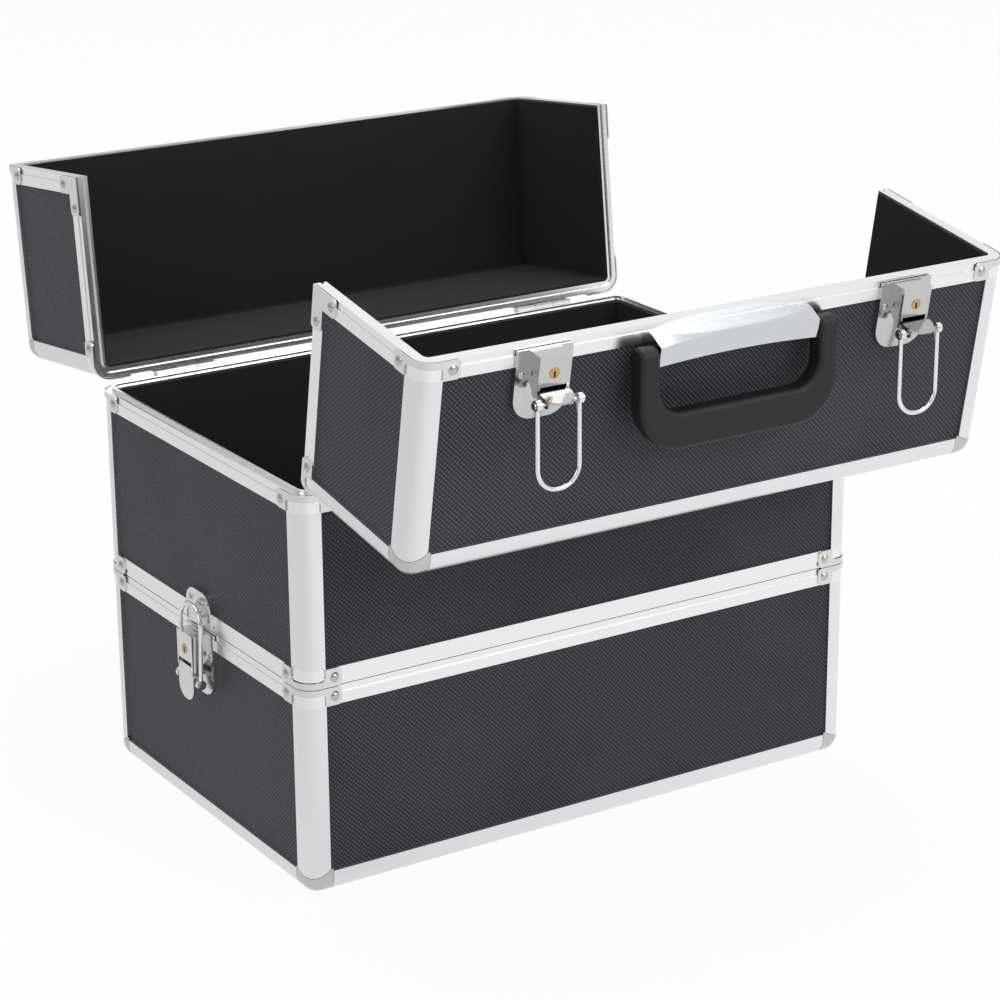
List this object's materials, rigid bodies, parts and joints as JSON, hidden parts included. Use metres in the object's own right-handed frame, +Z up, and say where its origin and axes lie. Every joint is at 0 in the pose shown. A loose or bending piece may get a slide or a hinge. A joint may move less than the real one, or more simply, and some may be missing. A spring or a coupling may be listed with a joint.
{
  "type": "makeup train case",
  "caption": "Aluminium-framed makeup train case with stacked boxes, a clamshell lid split along its top, loop latches with locks and a folding carry handle, lid halves open.",
  "frame": {"origin": "centre of the floor board's underside, at the height of the surface the case stands on", "axes": "+X to the right along the case's width as seen from the front, +Y to the back, +Z up; the lid half with the handle is at -Y"},
  "size_m": [0.3924, 0.5094, 0.3546],
  "materials": {
    "embossed_panel": "embossed matte black",
    "aluminium_trim": "satin anodised",
    "bright_metal": "bright plated",
    "hinge_steel": "plated steel",
    "corner_steel": "satin pressed steel",
    "brass_lock": "plain brass",
    "grip": "soft matt black",
    "lining": "black foam-backed cloth"
  },
  "bodies": {
    "front_lid": {"front_hinge_leaves": "hinge_steel", "front_lid_ball_corners": "corner_steel", "front_lid_brackets": "bright_metal", "front_lid_edges": "aluminium_trim", "front_lid_lining": "lining", "front_lid_panels": "embossed_panel", "front_lid_rims": "aluminium_trim", "front_lid_rivets": "bright_metal", "handle_bracket": "bright_metal", "handle_pin": "bright_metal", "top_latch_bases": "bright_metal", "top_latch_pins": "bright_metal"},
    "handle": {"handle_grip": "grip"},
    "middle_box": {"hinge_box_leaves": "hinge_steel", "hinge_pins": "hinge_steel", "middle_brackets": "bright_metal", "middle_floor": "embossed_panel", "middle_lining": "lining", "middle_panels": "embossed_panel", "middle_posts": "aluminium_trim", "middle_rims": "aluminium_trim", "middle_rivets": "bright_metal", "side_catches": "bright_metal"},
    "lower_box": {"lower_ball_corners": "corner_steel", "lower_bottom_edges": "aluminium_trim", "lower_brackets": "bright_metal", "lower_floor": "embossed_panel", "lower_lining": "lining", "lower_panels": "embossed_panel", "lower_posts": "aluminium_trim", "lower_rim": "aluminium_trim", "lower_rivets": "bright_metal", "side_latch_bases": "bright_metal", "side_latch_pins": "bright_metal"},
    "rear_lid": {"rear_hinge_leaves": "hinge_steel", "rear_lid_ball_corners": "corner_steel", "rear_lid_brackets": "bright_metal", "rear_lid_edges": "aluminium_trim", "rear_lid_lining": "lining", "rear_lid_panels": "embossed_panel", "rear_lid_rims": "aluminium_trim", "rear_lid_rivets": "bright_metal", "top_catches": "bright_metal"},
    "side_lever_left": {"side_latch_lever_left": "bright_metal"},
    "side_lever_right": {"side_latch_lever_right": "bright_metal"},
    "side_lock_plug_left": {"side_latch_lock_plug_left": "brass_lock"},
    "side_lock_plug_right": {"side_latch_lock_plug_right": "brass_lock"},
    "side_loop_left": {"side_latch_loop_left": "bright_metal"},
    "side_loop_right": {"side_latch_loop_right": "bright_metal"},
    "side_rod_left": {"side_latch_rod_left": "bright_metal"},
    "side_rod_right": {"side_latch_rod_right": "bright_metal"},
    "top_lever_left": {"top_latch_lever_left": "bright_metal"},
    "top_lever_right": {"top_latch_lever_right": "bright_metal"},
    "top_lock_plug_left": {"top_latch_lock_plug_left": "brass_lock"},
    "top_lock_plug_right": {"top_latch_lock_plug_right": "brass_lock"},
    "top_loop_left": {"top_latch_loop_left": "bright_metal"},
    "top_loop_right": {"top_latch_loop_right": "bright_metal"},
    "top_rod_left": {"top_latch_rod_left": "bright_metal"},
    "top_rod_right": {"top_latch_rod_right": "bright_metal"}
  },
  "joints": [
    {"name": "tier_lift", "type": "slide", "parent": "lower_box", "child": "middle_box", "axis": [0, 0, 1], "range_m": [0, 0.14]},
    {"name": "front_lid_hinge", "type": "hinge", "parent": "middle_box", "child": "front_lid", "pos_m": [0, -0.123, 0.2326], "axis": [1, 0, 0], "range_deg": [-100, 0]},
    {"name": "rear_lid_hinge", "type": "hinge", "parent": "middle_box", "child": "rear_lid", "pos_m": [0, 0.123, 0.2326], "axis": [-1, 0, 0], "range_deg": [-96.5, 0]},
    {"name": "handle_pivot", "type": "hinge", "parent": "front_lid", "child": "handle", "pos_m": [0, -0.25118, 0.31916], "axis": [-1, 0, 0], "range_deg": [-10, 80]},
    {"name": "top_lever_left_pivot", "type": "hinge", "parent": "front_lid", "child": "top_lever_left", "pos_m": [-0.114, -0.25149, 0.3123], "axis": [1, 0, 0], "range_deg": [0, 78]},
    {"name": "top_rod_left_turn", "type": "hinge", "parent": "top_lever_left", "child": "top_rod_left", "pos_m": [-0.114, -0.25898, 0.30841], "axis": [1, 0, 0], "range_deg": [-78, 0]},
    {"name": "top_loop_left_swing", "type": "hinge", "parent": "top_rod_left", "child": "top_loop_left", "pos_m": [-0.114, -0.25898, 0.30841], "axis": [-1, 0, 0], "range_deg": [-6, 165]},
    {"name": "top_lock_left_turn", "type": "hinge", "parent": "front_lid", "child": "top_lock_plug_left", "pos_m": [-0.114, -0.25578, 0.32221], "axis": [0, -0.9848, -0.1736], "range_deg": [0, 90]},
    {"name": "top_lever_right_pivot", "type": "hinge", "parent": "front_lid", "child": "top_lever_right", "pos_m": [0.114, -0.25149, 0.3123], "axis": [1, 0, 0], "range_deg": [0, 78]},
    {"name": "top_rod_right_turn", "type": "hinge", "parent": "top_lever_right", "child": "top_rod_right", "pos_m": [0.114, -0.25898, 0.30841], "axis": [1, 0, 0], "range_deg": [-78, 0]},
    {"name": "top_loop_right_swing", "type": "hinge", "parent": "top_rod_right", "child": "top_loop_right", "pos_m": [0.114, -0.25898, 0.30841], "axis": [-1, 0, 0], "range_deg": [-6, 165]},
    {"name": "top_lock_right_turn", "type": "hinge", "parent": "front_lid", "child": "top_lock_plug_right", "pos_m": [0.114, -0.25578, 0.32221], "axis": [0, -0.9848, -0.1736], "range_deg": [0, 90]},
    {"name": "side_lever_left_pivot", "type": "hinge", "parent": "lower_box", "child": "side_lever_left", "pos_m": [-0.1935, 0, 0.1], "axis": [0, 1, 0], "range_deg": [0, 78]},
    {"name": "side_rod_left_turn", "type": "hinge", "parent": "side_lever_left", "child": "side_rod_left", "pos_m": [-0.1927, 0, 0.0916], "axis": [0, 1, 0], "range_deg": [-78, 0]},
    {"name": "side_loop_left_swing", "type": "hinge", "parent": "side_rod_left", "child": "side_loop_left", "pos_m": [-0.1927, 0, 0.0916], "axis": [0, -1, 0], "range_deg": [0, 165]},
    {"name": "side_lock_left_turn", "type": "hinge", "parent": "lower_box", "child": "side_lock_plug_left", "pos_m": [-0.196, 0, 0.1105], "axis": [-1, 0, 0], "range_deg": [0, 90]},
    {"name": "side_lever_right_pivot", "type": "hinge", "parent": "lower_box", "child": "side_lever_right", "pos_m": [0.1935, 0, 0.1], "axis": [0, -1, 0], "range_deg": [0, 78]},
    {"name": "side_rod_right_turn", "type": "hinge", "parent": "side_lever_right", "child": "side_rod_right", "pos_m": [0.1927, 0, 0.0916], "axis": [0, -1, 0], "range_deg": [-78, 0]},
    {"name": "side_loop_right_swing", "type": "hinge", "parent": "side_rod_right", "child": "side_loop_right", "pos_m": [0.1927, 0, 0.0916], "axis": [0, 1, 0], "range_deg": [0, 165]},
    {"name": "side_lock_right_turn", "type": "hinge", "parent": "lower_box", "child": "side_lock_plug_right", "pos_m": [0.196, 0, 0.1105], "axis": [1, 0, 0], "range_deg": [0, 90]}
  ],
  "couplings": [
    {"joint": "top_rod_left_turn", "follows": "top_lever_left_pivot", "ratio": -1},
    {"joint": "top_rod_right_turn", "follows": "top_lever_right_pivot", "ratio": -1},
    {"joint": "side_rod_left_turn", "follows": "side_lever_left_pivot", "ratio": -1},
    {"joint": "side_rod_right_turn", "follows": "side_lever_right_pivot", "ratio": -1}
  ]
}
